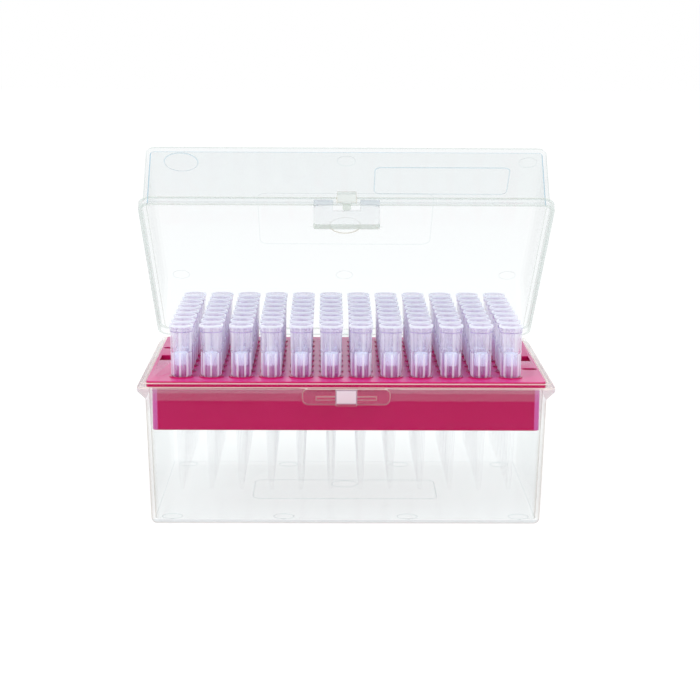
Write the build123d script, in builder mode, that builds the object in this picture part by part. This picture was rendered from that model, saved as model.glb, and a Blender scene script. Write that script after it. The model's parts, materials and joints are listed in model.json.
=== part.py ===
from build123d import *

import os

# Hinged box of filter pipette tips: a clear base with a coloured rack of 96 tips, and a clear lid
# with a snap flap. Millimetres. +X runs along the twelve columns, +Y to the hinge at the rear,
# +Z up. The origin is the centre of the base's underside. The lid is built closed and then turned
# open about its hinge, which is how the box stands.

# ---------------------------------------------------------------- driving sizes

# Tip grid
COLUMNS = 12
ROWS = 8
ROW_NAMES = "abcdefgh"  # from the front
PITCH = 9.0

# Base: outside sizes
END_MARGIN = 4.55  # from the tip grid's cells to the base's bottom edge, at both ends
SIDE_MARGIN = 2.75  # the same at the front and the rear
BASE_CORNER = 2.0
BASE_EDGE = 1.5  # rounding along the bottom edge
WALL_HEIGHT = 38.3  # up to where the wall turns out into the flare
WALL_LEAN = 1.33  # the moulding draft: how far each wall leans out over its height
WALL_CORNER = 2.4  # at the top of the wall
WALL = 1.2
FLOOR = 1.3
FLARE_REACH = 2.42
FLARE_HEIGHT = 2.7
RIM_HEIGHT = 1.3  # upright outer face of the rim
RIM_CORNER = 3.6
LEDGE = 1.1  # width of the ledge that the lid stands on
LIP_HEIGHT = 1.3
LIP_WALL = 1.2

# Marks moulded into the floor
PANEL_LENGTH = 58.0
PANEL_WIDTH = 24.6
PANEL_CORNER = 3.0
PANEL_DEPTH = 0.3
FLOOR_GATE_RADIUS = 4.2  # round field at the moulding's gate
FLOOR_GATE_PLACE = (0.0, 7.0)
EJECTOR_RADIUS = 3.0
EJECTOR_DEPTH = 0.2
EJECTOR_PLACES = (18.7, 52.5)  # along X, on both sides
EJECTOR_Y = 34.0

# Landing for the latch on the front of the base
LANDING_WIDTH = 26.0
LANDING_DEPTH = 6.2  # how far it reaches below the lip's top
LANDING_CORNER = 1.8
LANDING_PROUD = 0.15  # of the rim's face
BEAD_WIDTH = 17.8
BEAD_HEIGHT = 1.0
BEAD_PROUD = 0.35
BEAD_DROP = 3.6  # from the lip's top to the bead's top
CATCH_WIDTH = 6.2
CATCH_TOP_DROP = 1.6  # from the lip's top to the catch's top
CATCH_HEIGHT = 5.1
CATCH_PROUD = 0.55
CATCH_BEVEL = 0.9

# Rack
PLATE_THICKNESS = 1.8
PLATE_PROUD = 0.3  # how far the plate's top stands above the lip
PLATE_GAP = 0.5  # to the lip, all round
PLATE_CORNER = 1.6
SKIRT_HEIGHT = 13.3
SKIRT_GAP = 0.75  # to the base's wall at the skirt's top
SKIRT_WALL = 1.2
SKIRT_LEAN = 0.05
SKIRT_CORNER = 0.8  # inside
HOLE_RADIUS = 2.75
COLLAR_RADIUS = 3.7
COLLAR_HEIGHT = 0.3
GRIP_WIDTH = 3.6  # lifting slots in the plate's two ends
GRIP_LENGTH = 8.8
GRIP_EDGE = 1.1  # from the slot to the plate's end
SIGHT_WIDTH = 4.7  # small oblong holes beside the slots
SIGHT_RADIUS = 1.4
SIGHT_OFFSET = 18.0

# Tips: lengths are taken from the seat, where the ribs' feet stand on the collar
TIP_ABOVE = 15.7
TIP_BELOW = 35.0
TIP_MOUTH_RADIUS = 3.65
TIP_THROAT_RADIUS = 3.15
TIP_FLANGE_RADIUS = 3.4
TIP_FLANGE_HEIGHT = 2.1
TIP_BRIM = 0.7
TIP_SLEEVE_RADIUS = 3.2
TIP_BODY_RADIUS = 2.5
TIP_BODY_HEIGHT = 7.2
TIP_WALL = 0.42
TIP_KNEE_DEPTH = 15.0
TIP_KNEE_RADIUS = 1.6
TIP_STEP_DEPTH = 31.5
TIP_STEP_RADIUS = 0.95
TIP_END_RADIUS = 0.45
TIP_END_BORE = 0.22
TIP_HOLLOW = 0.05  # how hollow a long taper is
TIP_LONG = 3.0  # what counts as long
RIB_COUNT = 8
RIB_WIDTH = 0.55
RIB_RADIUS = 3.15
FILTER_HEIGHT = 4.5
FILTER_LIFT = 3.3  # from the seat
FILTER_GAP = 0.04
FILTER_CROWN = 0.5  # the bore widens to the nozzle's socket over this height
TIP_TURN = 17.0  # each tip stands turned by this much more than the one before, in degrees

# Lid, closed: its mouth stands on the ledge
LID_HEIGHT = 21.3
LID_GAP = 0.4  # skirt to lip
LID_WALL = 1.2
LID_SHOULDER = 0.1  # how far the lid's wall stands in from the skirt's inner face
LID_SKIRT_HEIGHT = 2.4
LID_SKIRT_POCKET = 1.6
LID_DRAFT = 0.2
LID_CORNER = 3.0
LID_RIM_CORNER = 4.0
LID_EDGE = 1.0
LABEL_LENGTH = 42.0
LABEL_WIDTH = 15.6
LABEL_CORNER = 2.0
LABEL_CENTRE = (30.0, -22.0)
CENTRE_PANEL_LENGTH = 56.0
CENTRE_PANEL_WIDTH = 32.0
CENTRE_PANEL_CORNER = 3.0
GATE_RADIUS = 5.0  # round field at the moulding's gate
GATE_PLACE = (0.0, 6.0)
GATE_HEIGHT = 0.3
LID_MARK_DEPTH = 0.2
SIGN_RADIUS = 5.2
SIGN_CENTRE = (-51.0, -32.5)
LID_EJECTOR_RADIUS = 2.8
LID_EJECTOR_PLACES = ((0.0, -35.0), (56.0, -34.5), (-55.5, 37.0), (0.0, 37.0), (55.5, 37.0))
OPEN_ANGLE = 36.9

# Hinge
HINGE_RADIUS = 1.9
HINGE_DROP = 0.1  # axis below the lip's top
HINGE_GAP = 0.3  # barrel to the lid's skirt, and arm to barrel
BARREL_LENGTH = 8.0
ARM_WIDTH = 2.8
PIN_RADIUS = 1.0
PIN_LENGTH = 2.6
PIN_CLEARANCE = 0.05
PAD_HEIGHT = 6.4  # reach of the hinge pad up the lid's rear wall
PAD_PROUD = 0.9

# Latch flap
FLAP_WIDTH = 19.8
FLAP_TOP_DROP = 1.0  # from the lid's mouth down to the plate's top
FLAP_DROP = 8.2  # and to its bottom
FLAP_THICKNESS = 1.1
FLAP_CORNER = 1.3
FLAP_GAP = 0.35  # to the lid's skirt
HOOK_REACH = 1.4  # the ledge along the bottom, which snaps under the catch
HOOK_HEIGHT = 1.0
WINDOW_WIDTH = 8.2
WINDOW_DROP = 2.95
STRIP_RADIUS = 0.28  # the two living hinge strips
STRIP_GAP = 0.08
STRIP_RISE = 0.92  # from the lid's mouth up to the strips' axis
STRIP_FOOT = 0.65  # thickness where a strip meets the plate
BLOCK_WIDTH = 5.9
BLOCK_TOP = 3.9
BLOCK_PROUD = 1.0
PIP_WIDTH = 2.5
PIP_TOP = 0.75
PIP_GAP = 0.35  # to the window's lower edge
PIP_THICKNESS = 0.8
PIP_CORNER = 0.8

# ---------------------------------------------------------------- worked out from them

base_length = COLUMNS * PITCH + 2 * END_MARGIN
base_width = ROWS * PITCH + 2 * SIDE_MARGIN
wall_top_length = base_length + 2 * WALL_LEAN
wall_top_width = base_width + 2 * WALL_LEAN
rim_length = wall_top_length + 2 * FLARE_REACH
rim_width = wall_top_width + 2 * FLARE_REACH
rim_bottom = WALL_HEIGHT + FLARE_HEIGHT
ledge_z = rim_bottom + RIM_HEIGHT
lip_z = ledge_z + LIP_HEIGHT
lip_length = rim_length - 2 * LEDGE
lip_width = rim_width - 2 * LEDGE
well_length = lip_length - 2 * LIP_WALL
well_width = lip_width - 2 * LIP_WALL
rim_front = -rim_width / 2
landing_front = rim_front - LANDING_PROUD

plate_z = lip_z + PLATE_PROUD
seat_z = plate_z + COLLAR_HEIGHT
plate_bottom = plate_z - PLATE_THICKNESS
plate_length = well_length - 2 * PLATE_GAP
plate_width = well_width - 2 * PLATE_GAP
cavity_top_length = wall_top_length - 2 * WALL
cavity_top_width = wall_top_width - 2 * WALL
skirt_length = cavity_top_length - 2 * SKIRT_GAP
skirt_width = cavity_top_width - 2 * SKIRT_GAP
skirt_bottom = plate_bottom - SKIRT_HEIGHT

mouth_z = ledge_z
lid_top = mouth_z + LID_HEIGHT
skirt_inner_length = lip_length + 2 * LID_GAP
skirt_inner_width = lip_width + 2 * LID_GAP
lid_rim_length = skirt_inner_length + 2 * LID_WALL
lid_rim_width = skirt_inner_width + 2 * LID_WALL
lid_length = skirt_inner_length - 2 * LID_SHOULDER
lid_width = skirt_inner_width - 2 * LID_SHOULDER

hinge_y = lid_rim_width / 2 + HINGE_GAP + HINGE_RADIUS
hinge_z = lip_z - HINGE_DROP
hinge = Axis((0, hinge_y, hinge_z), (-1, 0, 0))
arm_x = BARREL_LENGTH / 2 + HINGE_GAP + ARM_WIDTH / 2

flap_inner_y = -(lid_rim_width / 2 + FLAP_GAP)
flap_outer_y = flap_inner_y - FLAP_THICKNESS
catch_bottom = lip_z - CATCH_TOP_DROP - CATCH_HEIGHT

# corners that follow from the ones named above
lip_corner = RIM_CORNER - LEDGE
seat_corner = lip_corner - LIP_WALL
inner_corner = WALL_CORNER - WALL

# inside of the base
lean_per_mm = WALL_LEAN / WALL_HEIGHT
well_floor_length = base_length - 2 * WALL + 2 * lean_per_mm * FLOOR
well_floor_width = base_width - 2 * WALL + 2 * lean_per_mm * FLOOR
well_lean = lean_per_mm * (plate_bottom - FLOOR)

# latch landing, bead and catch
landing_root = -(wall_top_width / 2 - WALL / 2)
landing_bottom = lip_z - LANDING_DEPTH
bead_top = lip_z - BEAD_DROP
catch_top = lip_z - CATCH_TOP_DROP
catch_front = rim_front - CATCH_PROUD
catch_profile = (
    (landing_root, catch_top),
    (catch_front, catch_top),
    (catch_front, catch_bottom + CATCH_BEVEL),
    (catch_front + CATCH_BEVEL, catch_bottom),
    (landing_root, catch_bottom),
)

# hinge: the web under the barrel, the lid's pad and arms, and the stub pins
rim_rear = rim_width / 2
barrel_web = (
    (rim_rear - LEDGE, ledge_z - HINGE_GAP),
    (hinge_y, ledge_z - HINGE_GAP),
    (hinge_y, hinge_z - HINGE_RADIUS),
    (wall_top_width / 2 - WALL / 2, WALL_HEIGHT),
)
pad_root = lid_width / 2 - LID_WALL / 2
pad_rear = lid_width / 2 + PAD_PROUD
pad_top = mouth_z + PAD_HEIGHT
pad_profile = (
    (pad_root, mouth_z + LID_SKIRT_POCKET),
    (pad_rear, mouth_z + LID_SKIRT_POCKET),
    (pad_rear, pad_top - PAD_PROUD),
    (pad_root, pad_top),
)
arm_profile = (
    (pad_root, mouth_z + LID_SKIRT_POCKET),
    (lid_rim_width / 2, mouth_z + HINGE_GAP),
    (hinge_y, hinge_z - HINGE_RADIUS + HINGE_GAP),
    (hinge_y + HINGE_RADIUS, hinge_z),
    (pad_rear, pad_top - PAD_PROUD),
    (pad_root, pad_top - PAD_PROUD),
)
pin_span = PIN_LENGTH + ARM_WIDTH / 2
pin_x = arm_x - pin_span / 2

# latch flap
flap_bottom = mouth_z - FLAP_DROP
flap_top = mouth_z - FLAP_TOP_DROP
window_bottom = mouth_z - WINDOW_DROP
strip_y = -(lid_rim_width / 2 + STRIP_GAP + STRIP_RADIUS)
strip_z = mouth_z + STRIP_RISE
strip_width = (FLAP_WIDTH - WINDOW_WIDTH) / 2
strip_x = (FLAP_WIDTH - strip_width) / 2
strip_web = (
    (strip_y - STRIP_RADIUS, strip_z),
    (strip_y, strip_z - STRIP_RADIUS),
    (flap_inner_y, flap_top),
    (flap_inner_y - STRIP_FOOT, flap_top),
)
block_front = -(lid_rim_width / 2 + BLOCK_PROUD)

# rack openings
grip_x = plate_length / 2 - GRIP_EDGE - GRIP_WIDTH / 2

# tip: half sections from the mouth down, as (radius, height) with the seat at zero
bore_above_filter = FILTER_LIFT + FILTER_HEIGHT + FILTER_CROWN
filter_radius = TIP_BODY_RADIUS - TIP_WALL - FILTER_GAP
tip_outside = (
    (TIP_MOUTH_RADIUS, TIP_ABOVE),
    (TIP_MOUTH_RADIUS, TIP_ABOVE - TIP_BRIM),
    (TIP_FLANGE_RADIUS, TIP_ABOVE - TIP_FLANGE_HEIGHT),
    (TIP_SLEEVE_RADIUS, TIP_ABOVE - TIP_FLANGE_HEIGHT),
    (TIP_SLEEVE_RADIUS, TIP_BODY_HEIGHT),
    (TIP_BODY_RADIUS, TIP_BODY_HEIGHT),
    (TIP_BODY_RADIUS, 0),
    (TIP_KNEE_RADIUS, -TIP_KNEE_DEPTH),
    (TIP_STEP_RADIUS, -TIP_STEP_DEPTH),
    (TIP_END_RADIUS, -TIP_BELOW),
)
tip_inside = (
    (TIP_THROAT_RADIUS, TIP_ABOVE),
    (TIP_SLEEVE_RADIUS - TIP_WALL, bore_above_filter),
    (TIP_BODY_RADIUS - TIP_WALL, FILTER_LIFT + FILTER_HEIGHT),
    (TIP_BODY_RADIUS - TIP_WALL, FILTER_LIFT),
    (TIP_KNEE_RADIUS - TIP_WALL, -TIP_KNEE_DEPTH),
    (TIP_END_BORE, -TIP_BELOW),
)


# ---------------------------------------------------------------- shared helpers


def slab(length, width, corner, low, high, spread=0.0, top_corner=None, mode=Mode.ADD):
    """A rounded rectangular slab, low to high, with each side leaning out by spread on the way up."""
    with BuildSketch(Plane.XY.offset(low)) as foot:
        RectangleRounded(length, width, corner)
    if spread:
        with BuildSketch(Plane.XY.offset(high)) as head:
            RectangleRounded(length + 2 * spread, width + 2 * spread, top_corner or corner)
        loft([foot.sketch.face(), head.sketch.face()], ruled=True, mode=mode)
    else:
        extrude(foot.sketch, amount=high - low, mode=mode)


def front_plate(width, bottom, top, rear_y, front_y, corner, mode=Mode.ADD):
    """A flat upright plate facing -Y, centred on X, with its two lower corners rounded."""
    with BuildSketch(Plane.XZ.offset(-rear_y)) as outline:
        with Locations((0, (bottom + top) / 2)):
            Rectangle(width, top - bottom)
        if corner:
            fillet(outline.vertices().group_by(Axis.Z)[0], corner)
    extrude(outline.sketch, amount=rear_y - front_y, mode=mode)


def side_slab(profile, width, x=0.0, mode=Mode.ADD):
    """A piece with a closed Y-Z outline, given as points, and centred on x along X."""
    with BuildSketch(Plane.YZ.offset(x)) as outline:
        with BuildLine():
            Polyline(*profile, close=True)
        make_face()
    extrude(outline.sketch, amount=width / 2, both=True, mode=mode)


def cross_rod(radius, width, y, z, x=0.0, mode=Mode.ADD):
    """A round rod along X, centred on x."""
    with BuildSketch(Plane.YZ.offset(x)) as outline:
        with Locations((y, z)):
            Circle(radius)
    extrude(outline.sketch, amount=width / 2, both=True, mode=mode)


def turned_profile(points):
    """The outline of a turned piece: long tapers are very slightly hollow, short steps are straight."""
    for (top_radius, top), (low_radius, low) in zip(points, points[1:]):
        if top - low > TIP_LONG and top_radius != low_radius:
            middle = ((top_radius + low_radius) / 2 - TIP_HOLLOW, (top + low) / 2)
            Bezier((top_radius, top), middle, (low_radius, low))
        else:
            Line((top_radius, top), (low_radius, low))


def opened(piece):
    """The piece turned from the closed lid's place to the open one."""
    return piece.rotate(hinge, OPEN_ANGLE)


def grid_of(prototype, row):
    """One row of the tip grid: a copy of the prototype for each column, each turned differently."""
    y = (row - (ROWS - 1) / 2) * PITCH
    copies = []
    for column in range(COLUMNS):
        x = (column - (COLUMNS - 1) / 2) * PITCH
        turn = TIP_TURN * (column + COLUMNS * row)
        copies.append(Pos(x, y, seat_z) * Rot(0, 0, turn) * prototype)
    return Compound(children=copies)


# ---------------------------------------------------------------- base

with BuildPart() as base_box:
    # outside, from the floor up
    slab(base_length, base_width, BASE_CORNER, 0, WALL_HEIGHT, WALL_LEAN, WALL_CORNER)
    fillet(base_box.faces().sort_by(Axis.Z)[0].edges(), BASE_EDGE)
    slab(wall_top_length, wall_top_width, WALL_CORNER, WALL_HEIGHT, rim_bottom, FLARE_REACH, RIM_CORNER)
    slab(rim_length, rim_width, RIM_CORNER, rim_bottom, ledge_z)
    slab(lip_length, lip_width, lip_corner, ledge_z, lip_z)

    # latch landing: a flat field on the rim, with a bead and the catch standing out of it
    front_plate(LANDING_WIDTH, landing_bottom, ledge_z, landing_root, landing_front, LANDING_CORNER)
    front_plate(BEAD_WIDTH, bead_top - BEAD_HEIGHT, bead_top, rim_front, rim_front - BEAD_PROUD, 0)
    side_slab(catch_profile, CATCH_WIDTH)

    # inside: the tapered well, then the wider seat of the rack
    slab(well_floor_length, well_floor_width, inner_corner, FLOOR, plate_bottom,
         well_lean, inner_corner, Mode.SUBTRACT)
    slab(well_length, well_width, seat_corner, plate_bottom, lip_z, mode=Mode.SUBTRACT)

    # marks in the floor
    slab(PANEL_LENGTH, PANEL_WIDTH, PANEL_CORNER, FLOOR - PANEL_DEPTH, FLOOR, mode=Mode.SUBTRACT)
    with BuildSketch(Plane.XY.offset(FLOOR - PANEL_DEPTH)) as floor_gate:
        with Locations(FLOOR_GATE_PLACE):
            Circle(FLOOR_GATE_RADIUS)
    extrude(floor_gate.sketch, amount=PANEL_DEPTH)
    with BuildSketch(Plane.XY.offset(FLOOR - EJECTOR_DEPTH)) as ejectors:
        for x in EJECTOR_PLACES:
            with GridLocations(2 * x, 2 * EJECTOR_Y, 2, 2):
                Circle(EJECTOR_RADIUS)
    extrude(ejectors.sketch, amount=EJECTOR_DEPTH, mode=Mode.SUBTRACT)

    # rear hinge barrel on its web
    cross_rod(HINGE_RADIUS, BARREL_LENGTH, hinge_y, hinge_z)
    side_slab(barrel_web, BARREL_LENGTH)
    cross_rod(PIN_RADIUS + PIN_CLEARANCE, BARREL_LENGTH, hinge_y, hinge_z, mode=Mode.SUBTRACT)

# ---------------------------------------------------------------- rack

with BuildPart() as tip_rack:
    slab(plate_length, plate_width, PLATE_CORNER, plate_bottom, plate_z)
    slab(skirt_length - 2 * SKIRT_LEAN, skirt_width - 2 * SKIRT_LEAN, PLATE_CORNER,
         skirt_bottom, plate_bottom, SKIRT_LEAN)
    slab(skirt_length - 2 * SKIRT_LEAN - 2 * SKIRT_WALL, skirt_width - 2 * SKIRT_LEAN - 2 * SKIRT_WALL,
         SKIRT_CORNER, skirt_bottom, plate_bottom, SKIRT_LEAN, mode=Mode.SUBTRACT)
    with BuildSketch(Plane.XY.offset(plate_z)) as collars:
        with GridLocations(PITCH, PITCH, COLUMNS, ROWS):
            Circle(COLLAR_RADIUS)
    extrude(collars.sketch, amount=COLLAR_HEIGHT)
    with BuildSketch(Plane.XY.offset(seat_z)) as holes:
        with GridLocations(PITCH, PITCH, COLUMNS, ROWS):
            Circle(HOLE_RADIUS)
    extrude(holes.sketch, amount=plate_bottom - seat_z, mode=Mode.SUBTRACT)
    # lifting slots in both ends, and a small oblong hole beside each
    with BuildSketch(Plane.XY.offset(plate_z)) as openings:
        with GridLocations(2 * grip_x, 0, 2, 1):
            Rectangle(GRIP_WIDTH, GRIP_LENGTH)
        with Locations((grip_x, -SIGHT_OFFSET), (-grip_x, SIGHT_OFFSET)):
            SlotOverall(SIGHT_WIDTH, 2 * SIGHT_RADIUS)
    extrude(openings.sketch, amount=-PLATE_THICKNESS, mode=Mode.SUBTRACT)

# ---------------------------------------------------------------- tip and filter

with BuildPart() as tip:
    with BuildSketch(Plane.XZ):
        with BuildLine():
            turned_profile(tip_outside)
            Polyline(tip_outside[-1], (0, -TIP_BELOW), (0, TIP_ABOVE), tip_outside[0])
        make_face()
    revolve(axis=Axis.Z)
    with BuildSketch() as ribs:
        with PolarLocations(0, RIB_COUNT // 2, angular_range=180):
            Rectangle(2 * RIB_RADIUS, RIB_WIDTH)
    extrude(ribs.sketch, amount=TIP_BODY_HEIGHT)
    with BuildSketch(Plane.XZ) as hollow_half:
        with BuildLine():
            turned_profile(tip_inside)
            Polyline(tip_inside[-1], (0, -TIP_BELOW), (0, TIP_ABOVE), tip_inside[0])
        make_face()
    revolve(hollow_half.sketch, axis=Axis.Z, mode=Mode.SUBTRACT)

with BuildPart() as plug:
    with BuildSketch(Plane.XY.offset(FILTER_LIFT)):
        Circle(filter_radius)
    extrude(amount=FILTER_HEIGHT)

# ---------------------------------------------------------------- lid, built closed

with BuildPart() as lid:
    # outside: skirt, then walls and roof
    slab(lid_rim_length, lid_rim_width, LID_RIM_CORNER, mouth_z, mouth_z + LID_SKIRT_HEIGHT)
    slab(lid_length, lid_width, LID_CORNER, mouth_z + LID_SKIRT_HEIGHT, lid_top, -LID_DRAFT)
    fillet(lid.faces().sort_by(Axis.Z)[-1].edges(), LID_EDGE)

    # latch block and pip on the front, hinge pad and arms on the rear
    front_plate(BLOCK_WIDTH, mouth_z, mouth_z + BLOCK_TOP, -lid_width / 2 + LID_WALL / 2, block_front, 0)
    front_plate(PIP_WIDTH, window_bottom + PIP_GAP, mouth_z + PIP_TOP, block_front + PIP_THICKNESS,
                block_front, PIP_CORNER)
    side_slab(pad_profile, 2 * arm_x + ARM_WIDTH)
    for x in (-arm_x, arm_x):
        side_slab(arm_profile, ARM_WIDTH, x)
        cross_rod(HINGE_RADIUS, ARM_WIDTH, hinge_y, hinge_z, x)

    # inside: the skirt's pocket, then the tapered hollow
    slab(skirt_inner_length, skirt_inner_width, LID_RIM_CORNER - LID_WALL, mouth_z,
         mouth_z + LID_SKIRT_POCKET, mode=Mode.SUBTRACT)
    slab(lid_length - 2 * LID_WALL, lid_width - 2 * LID_WALL, LID_CORNER - LID_WALL,
         mouth_z + LID_SKIRT_POCKET, lid_top - LID_WALL, -LID_DRAFT, mode=Mode.SUBTRACT)

    # stub pins, which turn in the base's barrel
    for side in (-1, 1):
        cross_rod(PIN_RADIUS, pin_span, hinge_y, hinge_z, side * pin_x)

    # round field at the gate, and marks in the roof
    with BuildSketch(Plane.XY.offset(lid_top)) as gate:
        with Locations(GATE_PLACE):
            Circle(GATE_RADIUS)
    extrude(gate.sketch, amount=GATE_HEIGHT)
    with BuildSketch(Plane.XY.offset(lid_top)) as marks:
        with Locations(LABEL_CENTRE):
            RectangleRounded(LABEL_LENGTH, LABEL_WIDTH, LABEL_CORNER)
        with Locations(SIGN_CENTRE):
            Circle(SIGN_RADIUS)
    extrude(marks.sketch, amount=-LID_MARK_DEPTH, mode=Mode.SUBTRACT)
    with BuildSketch(Plane.XY.offset(lid_top - LID_WALL)) as ejectors:
        with Locations(*LID_EJECTOR_PLACES):
            Circle(LID_EJECTOR_RADIUS)
        RectangleRounded(CENTRE_PANEL_LENGTH, CENTRE_PANEL_WIDTH, CENTRE_PANEL_CORNER)
    extrude(ejectors.sketch, amount=LID_MARK_DEPTH, mode=Mode.SUBTRACT)

# ---------------------------------------------------------------- latch flap, built closed

with BuildPart() as latch_flap:
    front_plate(FLAP_WIDTH, flap_bottom, flap_top, flap_inner_y, flap_outer_y, FLAP_CORNER)
    front_plate(FLAP_WIDTH, flap_bottom, flap_bottom + HOOK_HEIGHT, flap_inner_y + HOOK_REACH,
                flap_inner_y, 0)
    fillet(latch_flap.edges().filter_by(Axis.Y).group_by(Axis.Z)[0], FLAP_CORNER / 2)
    front_plate(WINDOW_WIDTH, window_bottom, flap_top, flap_inner_y, flap_outer_y, 0, Mode.SUBTRACT)
    for side in (-1, 1):
        cross_rod(STRIP_RADIUS, strip_width, strip_y, strip_z, side * strip_x)
        side_slab(strip_web, strip_width, side * strip_x)

# ---------------------------------------------------------------- hand over

os.makedirs("parts", exist_ok=True)

lid.part = opened(lid.part)
latch_flap.part = opened(latch_flap.part)
mouldings = {"base_box": base_box, "tip_rack": tip_rack, "lid": lid, "latch_flap": latch_flap}
for name, piece in mouldings.items():
    piece.part.label = name
    export_step(piece.part, f"parts/{name}.step")

for row, letter in enumerate(ROW_NAMES):
    for name, prototype in (("tips", tip.part), ("filters", plug.part)):
        group = grid_of(prototype, row)
        group.label = f"{name}_row_{letter}"
        export_step(group, f"parts/{name}_row_{letter}.step")
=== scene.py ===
# %% [markdown]
# # A box of pipette tips
#
# The object is a clear hinged box, 125 mm long, with a magenta rack that holds 96 filter tips.
# Almost everything in it is injection-moulded polypropylene. The box is clear, the rack is dyed
# through, the tips are natural and slightly milky, and the snap flap on the lid is frosted. Light has
# to pass through up to forty surfaces, so this lesson is mostly about clear plastic: how its walls,
# edges and ribs show at all in front of a white background.
#
# The exact solids come from the CAD frame. This script gives them rounded edges and surfaces, and
# makes the tips and their filters again with finer detail.

# %% Load the frame and keep its size
import math
import random

import bmesh
import bpy
from mathutils import Matrix, Vector
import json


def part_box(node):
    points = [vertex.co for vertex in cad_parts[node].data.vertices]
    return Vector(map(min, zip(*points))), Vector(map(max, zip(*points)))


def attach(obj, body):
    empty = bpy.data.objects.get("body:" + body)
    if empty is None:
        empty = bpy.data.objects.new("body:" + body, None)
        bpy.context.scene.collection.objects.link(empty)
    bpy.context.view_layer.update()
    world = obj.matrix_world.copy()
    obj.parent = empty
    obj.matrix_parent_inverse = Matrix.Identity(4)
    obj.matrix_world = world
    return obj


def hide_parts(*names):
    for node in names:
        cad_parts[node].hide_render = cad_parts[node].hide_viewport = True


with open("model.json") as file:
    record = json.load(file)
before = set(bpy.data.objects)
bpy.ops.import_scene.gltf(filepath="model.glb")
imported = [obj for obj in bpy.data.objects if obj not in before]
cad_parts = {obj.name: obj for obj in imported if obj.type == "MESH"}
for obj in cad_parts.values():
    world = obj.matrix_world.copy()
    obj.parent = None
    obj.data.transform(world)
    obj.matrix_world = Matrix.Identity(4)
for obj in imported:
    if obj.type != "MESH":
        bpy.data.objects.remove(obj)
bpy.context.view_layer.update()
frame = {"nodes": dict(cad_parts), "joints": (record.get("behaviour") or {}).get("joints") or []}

nodes = frame["nodes"]
scene = bpy.context.scene
scene.view_settings.view_transform = "Standard"
MM = 0.001  # the CAD is drawn in millimetres, and this scene is in metres

# %% [markdown]
# ## Colours
#
# Colours are noted as sRGB hex values, as a colour picker gives them. Shaders calculate in linear
# light, so one function turns them.


# %% Hex to linear
def linear(hex_colour):
    """sRGB hex, such as C2255F, to linear RGBA."""
    channels = [int(hex_colour[i:i + 2], 16) / 255 for i in (0, 2, 4)]
    light = [c / 12.92 if c <= 0.04045 else ((c + 0.055) / 1.055) ** 2.4 for c in channels]
    return (*light, 1.0)


print("magenta in linear light:", [round(c, 3) for c in linear("C2255F")])

# %% [markdown]
# ## One small function for nodes
#
# Every material below is a short chain of nodes. A node could be added, set and linked in three
# steps each time, but then the chain is hard to see. This function does all three: it adds one
# node, sets its plain values and links the rest. A key is an input's name or number, or a property
# of the node.


# %% Add a node
def add(tree, kind, inputs=None, **settings):
    """Adds a node: settings are its properties; inputs are socket: value or socket: output to link."""
    node = tree.nodes.new(kind)
    for key, value in settings.items():
        setattr(node, key, value)
    for key, value in (inputs or {}).items():
        if isinstance(value, bpy.types.NodeSocket):
            tree.links.new(value, node.inputs[key])
        else:
            node.inputs[key].default_value = value
    return node


def new_material(name):
    """An empty node material, its tree and its output node."""
    material = bpy.data.materials.new(name)
    material.use_nodes = True
    material.node_tree.nodes.clear()
    output = material.node_tree.nodes.new("ShaderNodeOutputMaterial")
    return material, material.node_tree, output


print("helpers are ready")

# %% [markdown]
# ## The camera
#
# The camera stands 0.6 m in front of the box, a little above it, with a long lens, so the box keeps
# nearly parallel sides. A Track To constraint could aim it, but it can't give the small roll that a
# camera in the hand has. So the camera's three axes are worked out from yaw, pitch and roll, and are
# put in as the columns of its matrix.

# %% Camera
CAMERA_PLACE = Vector((-5.34, -605.73, 153.9)) * MM
YAW, PITCH_DOWN, ROLL = (math.radians(angle) for angle in (0.647, 10.055, 0.283))
LENS = 99.82  # mm, on the default 36 mm sensor

forward = Vector((math.sin(YAW) * math.cos(PITCH_DOWN), math.cos(YAW) * math.cos(PITCH_DOWN),
                  -math.sin(PITCH_DOWN)))
level = Vector((math.cos(YAW), -math.sin(YAW), 0))
upward = level.cross(forward)
right = math.cos(ROLL) * level + math.sin(ROLL) * upward
above = right.cross(forward)
axes = Matrix((right, above, -forward)).transposed()

camera_data = bpy.data.cameras.new("camera")
camera_data.lens = LENS
camera_data.clip_start = 0.01
camera = bpy.data.objects.new("camera", camera_data)
scene.collection.objects.link(camera)
camera.matrix_world = Matrix.Translation(CAMERA_PLACE) @ axes.to_4x4()
scene.camera = camera
print("camera looks along", [round(c, 3) for c in forward])

# %% [markdown]
# ## Light for clear plastic
#
# Clear plastic has almost no colour of its own. It shows where it turns the view towards something
# darker or mirrors something brighter. So the sky is white near the horizon, which is what stands
# behind the box from any side, and a light grey higher up, for upper faces to mirror. A picture of
# a studio could light the scene too, but two plain tones are easier to control.
#
# A ray that meets too many surfaces is cut off and turns black. The limits are therefore set for the
# worst path: through two walls of the box, two of the lid and a column of eight tips, each of which
# has four surfaces.

# %% Paths through many walls
scene.cycles.max_bounces = 24
scene.cycles.transparent_max_bounces = 96
scene.cycles.glossy_bounces = 6
scene.cycles.diffuse_bounces = 16
print("a ray may cross", scene.cycles.transparent_max_bounces, "clear surfaces")

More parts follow.
